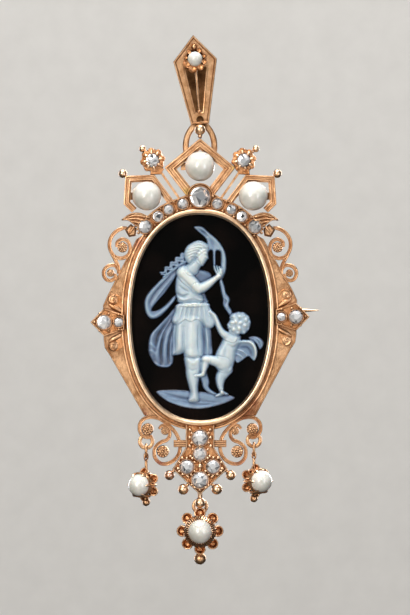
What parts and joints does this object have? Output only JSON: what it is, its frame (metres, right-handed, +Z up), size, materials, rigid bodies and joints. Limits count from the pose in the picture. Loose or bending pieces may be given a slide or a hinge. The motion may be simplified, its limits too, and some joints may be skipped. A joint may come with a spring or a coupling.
{
  "type": "cameo pendant brooch",
  "caption": "Oval onyx cameo in a rose gold mount with a crown of pearls, rose-cut stones, scrolls and three pearl drops, hanging from a pierced bail.",
  "frame": {"origin": "top of the inside of the bail's loop, where the chain lies", "axes": "+Z up as it hangs, the face looks toward -Y, +X to the viewer's right"},
  "size_m": [0.0383, 0.01, 0.0883],
  "materials": {
    "rose_gold": "satin rose gold, polished on the rim",
    "pearl": "pearl lustre",
    "diamond": "foiled rose-cut stone",
    "onyx": "polished black onyx",
    "cameo_layer": "satin carved white layer"
  },
  "bodies": {
    "bail": {"bail": "rose_gold", "bail_pearl": "pearl"},
    "pendant": {"gold_mount": "rose_gold", "brooch_pin": "rose_gold", "centre_link": "rose_gold", "centre_drop": "rose_gold", "left_link": "rose_gold", "left_drop": "rose_gold", "right_link": "rose_gold", "right_drop": "rose_gold", "crown_pearl_centre": "pearl", "crown_pearl_left": "pearl", "crown_pearl_right": "pearl", "centre_drop_pearl": "pearl", "left_drop_pearl": "pearl", "right_drop_pearl": "pearl", "crown_diamond_left": "diamond", "crown_diamond_right": "diamond", "band_diamond_centre": "diamond", "band_diamond_left_1": "diamond", "band_diamond_left_2": "diamond", "band_diamond_left_3": "diamond", "band_diamond_left_4": "diamond", "band_diamond_right_1": "diamond", "band_diamond_right_2": "diamond", "band_diamond_right_3": "diamond", "band_diamond_right_4": "diamond", "side_diamond_left_inner": "diamond", "side_diamond_left_outer": "diamond", "side_diamond_right_inner": "diamond", "side_diamond_right_outer": "diamond", "shield_diamond_top": "diamond", "shield_diamond_middle": "diamond", "shield_diamond_left": "diamond", "shield_diamond_right": "diamond", "shield_diamond_bottom": "diamond", "onyx_ground": "onyx", "cameo_figures": "cameo_layer"}
  },
  "joints": [
    {"name": "pendant_swing", "type": "hinge", "parent": "bail", "child": "pendant", "pos_m": [0.00101, 0, -0.01281], "axis": [1, 0, 0], "range_deg": [-30, 60]}
  ]
}
